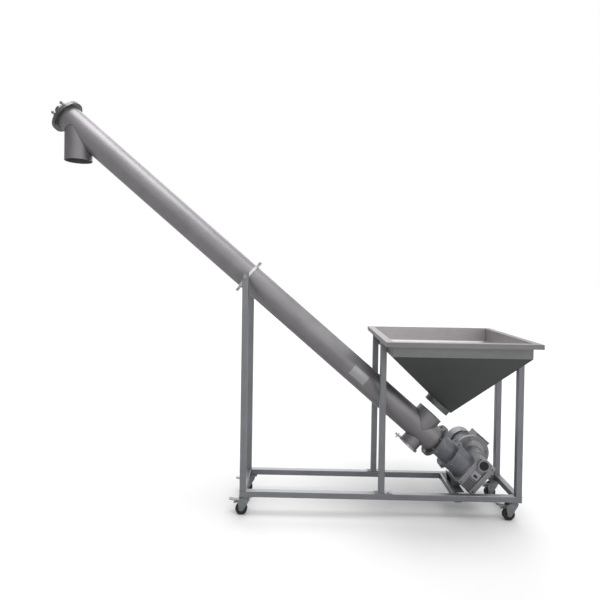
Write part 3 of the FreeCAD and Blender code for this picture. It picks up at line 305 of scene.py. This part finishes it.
# ---------------------------------------------------------------- mesh building
class Skin:
    """Closed surfaces gathered into one mesh."""

    def __init__(self):
        self.points = []
        self.faces = []

    def wrap(self, rings, closed=False):
        """A skin over rings of points; one that isn't closed gets two end faces."""
        start, size, count = len(self.points), len(rings[0]), len(rings)
        for ring in rings:
            self.points += ring
        for step in range(count if closed else count - 1):
            here, there = start + step * size, start + (step + 1) % count * size
            for side in range(size):
                beside = (side + 1) % size
                self.faces.append((here + side, here + beside, there + beside, there + side))
        if not closed:
            last = start + (count - 1) * size
            self.faces.append(tuple(start + side for side in reversed(range(size))))
            self.faces.append(tuple(last + side for side in range(size)))

    def turned(self, profile, origin, axis, sides=20):
        """A solid of revolution: (radius, height) points from the bottom to the top."""
        axis = axis.normalized()
        first = axis.orthogonal().normalized()
        second = axis.cross(first)
        rings = []
        for radius, height in profile:
            ring = []
            for step in range(sides):
                angle = 2 * math.pi * step / sides
                spoke = first * math.cos(angle) + second * math.sin(angle)
                ring.append(origin + (spoke * radius + axis * height) * MM)
            rings.append(ring)
        self.wrap(rings)

    def slab(self, centre, axes, halves, soft):
        """A rectangular plate with rounded outline and softened top edge; sizes in millimetres."""
        wide, deep, up = axes
        outline = []
        for quarter in range(4):
            turn = math.pi / 2 * quarter
            corner_x = (halves[0] - soft) * (1 if quarter in (0, 3) else -1)
            corner_y = (halves[1] - soft) * (1 if quarter in (0, 1) else -1)
            for step in range(5):
                angle = turn + math.pi / 8 * step
                outline.append((corner_x, corner_y, math.cos(angle), math.sin(angle)))
        rings = []
        edge = min(soft, halves[2]) * 0.4
        for height, inset in ((-halves[2], edge), (edge - halves[2], 0), (halves[2] - edge, 0),
                              (halves[2], edge)):
            ring = []
            for x, y, cosine, sine in outline:
                reach = soft - inset
                ring.append(centre + (wide * (x + cosine * reach) + deep * (y + sine * reach)
                                      + up * height) * MM)
            rings.append(ring)
        self.wrap(rings)

    def piece(self, name, finish, slot, body="frame"):
        data = bpy.data.meshes.new(name)
        data.from_pydata([tuple(p) for p in self.points], [], self.faces)
        work = bmesh.new()
        work.from_mesh(data)
        bmesh.ops.recalc_face_normals(work, faces=work.faces)
        for face in work.faces:
            face.smooth = True
        for edge in work.edges:
            edge.smooth = edge.calc_face_angle(0) < math.radians(38)
        work.to_mesh(data)
        work.free()
        made = bpy.data.objects.new(name, data)
        bpy.context.scene.collection.objects.link(made)
        data.materials.append(finish)
        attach(made, body)
        return made


dice = np.random.RandomState(11)


def evenly(path, step, closed):
    """The path's points again, a step apart."""
    corners = [np.array(p) for p in path] + ([np.array(path[0])] if closed else [])
    lengths = [np.linalg.norm(b - a) for a, b in zip(corners, corners[1:])]
    marks = np.concatenate([[0], np.cumsum(lengths)])
    count = max(4, int(round(marks[-1] / step)))
    places = np.linspace(0, marks[-1], count + (0 if closed else 1), endpoint=not closed)
    spread_out = [np.interp(places, marks, [c[axis] for c in corners]) for axis in range(3)]
    return [Vector(p) for p in zip(*spread_out)]


def bead(skin, path, radius, closed=False, pitch=4.5, sides=8):
    """A rippled weld bead along a path; radius and pitch in millimetres."""
    points = evenly(path, pitch / 3 * MM, closed)
    count = len(points)
    normal, rings = None, []
    for step, point in enumerate(points):
        if closed:
            tangent = points[(step + 1) % count] - points[step - 1]
        else:
            tangent = points[min(step + 1, count - 1)] - points[max(step - 1, 0)]
        tangent.normalize()
        normal = tangent.orthogonal() if normal is None else normal - tangent * normal.dot(tangent)
        normal.normalize()
        side = tangent.cross(normal)
        swell = radius * (1 + 0.13 * math.sin(2 * math.pi * step / 3) + 0.07 * dice.uniform(-1, 1))
        if not closed and step in (0, count - 1):
            swell *= 0.4
        ring = []
        for index in range(sides):
            angle = 2 * math.pi * index / sides
            ring.append(point + (normal * math.cos(angle) + side * math.sin(angle)) * swell * MM)
        rings.append(ring)
    skin.wrap(rings, closed)


def loop(centre, first, second, half, corner=4.0):
    """A square path with round corners."""
    path = []
    for quarter in range(4):
        reach = half - corner
        x = reach * (1 if quarter in (0, 3) else -1)
        y = reach * (1 if quarter in (0, 1) else -1)
        for step in range(4):
            angle = math.pi / 2 * quarter + math.pi / 6 * step
            path.append(centre + (first * (x + corner * math.cos(angle))
                                  + second * (y + corner * math.sin(angle))) * MM)
    return path


X, Y, Z = Vector((1, 0, 0)), Vector((0, 1, 0)), Vector((0, 0, 1))

# ---------------------------------------------------------------- welds of the frame
frame_welds = Skin()
for side in (-1, 1):
    y = side * POST_Y
    for x, z in ((LEFT_POST_X, RAIL_TOP), (RIGHT_POST_X, RAIL_TOP), (MID_POST_X, RAIL_TOP + 6)):
        bead(frame_welds, loop(at(x, y, z), X, Y, SECTION / 2), 1.9, True)
    for x in (MID_POST_X, RIGHT_POST_X):
        bead(frame_welds, loop(at(x, y, RIM_UNDER), X, Y, SECTION / 2), 1.7, True)
    for x in (LEFT_POST_X, RIGHT_POST_X, BEAM_X):
        bead(frame_welds, loop(at(x, side * RAIL_INNER_Y, RAIL_MIDDLE), X, Z, SECTION / 2), 1.9, True)
    for x in (HOPPER_X - BIN_HALF[0], HOPPER_X + BIN_HALF[0]):
        for edge in (161, 199):
            bead(frame_welds, [at(x, side * edge, BIN_BOTTOM + 3), at(x, side * edge, RIM_UNDER - 3)], 1.7)
    for x in CASTER_PLATE_X:
        ends = [at(x + reach, side * RAIL_INNER_Y, RAIL_UNDER)
                for reach in (-CASTER_PLATE_HALF, CASTER_PLATE_HALF)]
        bead(frame_welds, ends, 1.9)
frame_welds.piece("frame_welds", weld_finish, "frame_steel")

rail_caps = Skin()
for side in (-1, 1):
    for x, turn in ((FRAME_LEFT + 2, -1), (FRAME_RIGHT - 2, 1)):
        rail_caps.slab(at(x, side * POST_Y, RAIL_MIDDLE), (Y, Z, X * turn), (17.6, 17.6, 1.2), 2.5)
rail_caps.piece("rail_end_caps", frame_up, "frame_steel")


# ---------------------------------------------------------------- welds of the tube
def branch_line(down, direction, radius):
    """Where a branch pipe from the tube's axis meets the tube."""
    middle = tube_point(down, 0, 0)
    first = ACROSS
    second = direction.cross(first)
    path = []
    for step in range(96):
        angle = 2 * math.pi * step / 96
        spoke = (first * math.cos(angle) + second * math.sin(angle)) * radius
        flat_spoke = spoke - ALONG * spoke.dot(ALONG)
        flat_way = direction - ALONG * direction.dot(ALONG)
        a, b = flat_way.dot(flat_way), flat_spoke.dot(flat_way)
        c = flat_spoke.dot(flat_spoke) - TUBE_RADIUS ** 2
        reach = (-b + math.sqrt(max(b * b - a * c, 0))) / a
        path.append(middle + (spoke + direction * reach) * MM)
    return path


def around(down, radius):
    """A circle about the tube's axis."""
    steps = [2 * math.pi * step / 120 for step in range(120)]
    return [tube_point(down, radius * math.sin(a), radius * math.cos(a)) for a in steps]


tube_welds = Skin()
bead(tube_welds, branch_line(INLET_DOWN, OFF, PIPE_RADIUS), 2.2, True)
bead(tube_welds, branch_line(SPOUT_DOWN, DOWN, PIPE_RADIUS), 2.2, True)
bead(tube_welds, branch_line(PORT_DOWN, -OFF, PORT_RADIUS), 2.0, True)
bead(tube_welds, around(TUBE_TOP_FACE, TUBE_RADIUS + 0.6), 1.9, True)
bead(tube_welds, around(TUBE_LOW_FACE, TUBE_RADIUS + 0.6), 1.9, True)
tube_welds.piece("tube_welds", weld_finish, "tube_steel")

# ---------------------------------------------------------------- seams of the hopper
hopper_seams = Skin()
SIGNS = ((-1, -1), (1, -1), (1, 1), (-1, 1))
half_x, half_y = BIN_HALF
bottom_corners = [at(HOPPER_X + i * half_x, j * half_y, BIN_BOTTOM) for i, j in SIGNS]
outlet_corners = [tube_point(INLET_DOWN + i * OUTLET_HALF, j * OUTLET_HALF, OUTLET_OFF) for i, j in SIGNS]
bead(hopper_seams, bottom_corners, 1.1, True, 6)
bead(hopper_seams, outlet_corners, 1.2, True, 5)
for corner, outlet, (sign_x, sign_y) in zip(bottom_corners, outlet_corners, SIGNS):
    bead(hopper_seams, [corner, outlet], 1.1, False, 6)
    bead(hopper_seams, [corner, corner + Z * (RIM_UNDER - BIN_BOTTOM - 1) * MM], 1.1, False, 6)
    inward = Vector((-sign_x, -sign_y, 0)) * 2.6 * MM
    bead(hopper_seams, [corner + inward, corner + inward + Z * 97 * MM], 1.3, False, 6)
    lower = outlet - ALONG * (sign_x * 3 * MM) - ACROSS * (sign_y * 3 * MM)
    bead(hopper_seams, [corner + inward * 1.3, lower], 1.2, False, 6)
hopper_seams.piece("hopper_seams", weld_finish, "hopper_steel")

# ---------------------------------------------------------------- gearbox details
FRONT = -ACROSS
RIB_HALF = 1.3
RIB_ROOT = -2


def rib(skin, first, last, height):
    """A straight rib on the pocket's face, between (down, off) places, tapering as it rises."""
    ends = [tube_point(down, POCKET_FACE, off) for down, off in (first, last)]
    side = (ends[1] - ends[0]).normalized().cross(FRONT).normalized()
    crest = RIB_HALF * 0.7
    section = ((-RIB_HALF, RIB_ROOT), (RIB_HALF, RIB_ROOT), (crest, height), (-crest, height))
    skin.wrap([[end + (side * x + FRONT * y) * MM for x, y in section] for end in ends])


# The ribs carry the pocket's dark tone, which is painted shade.
gear_ribs = Skin()
for off in range(-100, -20, 8):
    rib(gear_ribs, (2054, off), (2122, off), 3.4)
for down in range(2060, 2120, 8):
    rib(gear_ribs, (down, -104), (down, -24), 3.0)
gear_ribs.piece("gearbox_mesh_ribs", recess_shade_finish, "gearbox_alloy")

plate_axes = (ALONG, OFF, FRONT)
blank_plate = Skin()
blank_plate.slab(tube_point(2086, -95.2, 12), plate_axes, (28, 25, 1.0), 3)
for down, off in ((2063, -8), (2109, -8), (2063, 32), (2109, 32)):
    blank_plate.turned(((0.2, -1), (2.2, -1), (2.2, 0.6), (1.4, 1.4), (0.2, 1.6)),
                       tube_point(down, -96.4, off), FRONT, 12)
blank_plate.piece("gearbox_blank_plate", finishes["plate_blank"], "plate_blank")
window = Skin()
window.slab(tube_point(2086, -96.6, 6), plate_axes, (15, 9, 0.5), 1.5)
window.piece("gearbox_plate_window", dark_window, "black_plastic")
plate_stand = Skin()
plate_stand.slab(tube_point(2087, -88, 12), plate_axes, (33, 30, 6.5), 4)
plate_stand.piece("gearbox_plate_pad", finishes["gearbox_alloy"], "gearbox_alloy")


def socket_screws(name, places, axis, radius, height, finish):
    """Cap screws with a hollow socket, standing on the given points."""
    skin = Skin()
    profile = ((0.3, -1), (radius, -1), (radius, height - 0.5), (radius - 0.5, height),
               (radius * 0.55, height), (radius * 0.5, height * 0.45), (0.3, height * 0.4))
    for place in places:
        skin.turned(profile, place, axis, 18)
    skin.piece(name, finish, "bolt_steel")


bar_screws = [tube_point(down, BAR_FACE, off) for down in BAR_DOWN for off in (-86, 116)]
socket_screws("gearbox_bar_screws", bar_screws, FRONT, 4.5, 3, finishes["black_plastic"])

lid_screws = [tube_point(BOX_MIDDLE[0] + x, BOX_MIDDLE[1] + y, LID_TOP) for x in (-50, 50) for y in (-53, 53)]
socket_screws("terminal_lid_screws", lid_screws, OFF, 3.6, 2.4, finishes["bolt_steel"])

cowl_middle = tube_point(WORM_DOWN, COWL_SCREW_Y, WORM_OFF)
cowl_skin = Skin()
for degrees in (45, 135, 225, 315):
    angle = math.radians(degrees)
    place = tube_point(WORM_DOWN + COWL_RADIUS * math.cos(angle), COWL_SCREW_Y,
                       WORM_OFF + COWL_RADIUS * math.sin(angle))
    cowl_skin.turned(((0.3, -1), (4, -1), (4, 1.2), (3, 2.4), (1.6, 2.6), (1.4, 1.6), (0.3, 1.5)),
                     place, (place - cowl_middle).normalized(), 16)
cowl_skin.piece("cowl_screws", finishes["bolt_steel"], "bolt_steel")

# ---------------------------------------------------------------- stage, light and camera
stage = bpy.context.scene
stage.view_settings.view_transform = "Standard"


def by_ray(tree, seen, other, surface_socket):
    """One shader for what the camera sees directly, and another for every other ray."""
    looked_at = tree.nodes.new("ShaderNodeLightPath").outputs["Is Camera Ray"]
    either = tree.nodes.new("ShaderNodeMixShader")
    for socket, given in zip(either.inputs, (looked_at, other, seen)):
        tree.links.new(given, socket)
    tree.links.new(either.outputs[0], surface_socket)


def matt(tree, shade):
    return link_in(tree, "BsdfDiffuse", Color=(shade, shade, shade, 1)).outputs[0]


floor_finish = bpy.data.materials.new("floor_pale")
floor_finish.use_nodes = True
tree = floor_finish.node_tree
tree.nodes.remove(tree.nodes["Principled BSDF"])
by_ray(tree, matt(tree, 0.72), matt(tree, 0.4), tree.nodes["Material Output"].inputs["Surface"])

FLOOR_REACH = 60
corners = [(-FLOOR_REACH, -FLOOR_REACH, 0), (FLOOR_REACH, -FLOOR_REACH, 0),
           (FLOOR_REACH, FLOOR_REACH, 0), (-FLOOR_REACH, FLOOR_REACH, 0)]
floor_data = bpy.data.meshes.new("floor")
floor_data.from_pydata(corners, [], [(0, 1, 2, 3)])
floor_data.materials.append(floor_finish)
floor = bpy.data.objects.new("floor", floor_data)
stage.collection.objects.link(floor)

# white to the camera; the room's light falls off towards the low X side
world = bpy.data.worlds.new("studio")
world.use_nodes = True
stage.world = world
tree = world.node_tree
backdrop = tree.nodes["Background"]
backdrop.inputs["Color"].default_value = (1, 1, 1, 1)
backdrop.inputs["Strength"].default_value = 1.0
room = tree.nodes.new("ShaderNodeBackground")
direction = link_in(tree, "SeparateXYZ", Vector=tree.nodes.new("ShaderNodeTexCoord").outputs["Generated"])
tree.links.new(spread(tree, direction.outputs[0], 0.4, 1.1, -0.9, 0.5), room.inputs["Strength"])
by_ray(tree, backdrop.outputs[0], room.outputs[0], tree.nodes["World Output"].inputs["Surface"])


def sun(name, strength, spread_degrees, direction):
    data = bpy.data.lights.new(name, "SUN")
    data.energy = strength
    data.angle = math.radians(spread_degrees)
    lamp = bpy.data.objects.new(name, data)
    lamp.rotation_euler = Vector(direction).to_track_quat("-Z", "Y").to_euler()
    stage.collection.objects.link(lamp)


sun("sky_panel", 2.2, 44, (-0.1, 0.1, -1))
sun("back_panel", 1.0, 50, (0.1, -1, -0.75))
sun("front_panel", 0.55, 80, (-0.35, 1, -0.1))

VIEW_FROM = Vector((0.1665, -3.4014, 1.650))
YAW, PITCH, ROLL = -0.0134, 0.0139, 0.0153
ahead = Vector((math.sin(YAW) * math.cos(PITCH), math.cos(YAW) * math.cos(PITCH), -math.sin(PITCH)))
level = Vector((math.cos(YAW), -math.sin(YAW), 0))
above = level.cross(ahead)
rightward = level * math.cos(ROLL) + above * math.sin(ROLL)
upward = above * math.cos(ROLL) - level * math.sin(ROLL)
camera_data = bpy.data.cameras.new("photo_view")
camera_data.sensor_width = 36
camera_data.lens = 28.862
camera_data.shift_x = 0.0036
camera_data.shift_y = -0.0366
camera_data.clip_end = 200
camera = bpy.data.objects.new("photo_view", camera_data)
pose = Matrix((rightward, upward, -ahead)).transposed().to_4x4()
pose.translation = VIEW_FROM
camera.matrix_world = pose
stage.collection.objects.link(camera)
stage.camera = camera
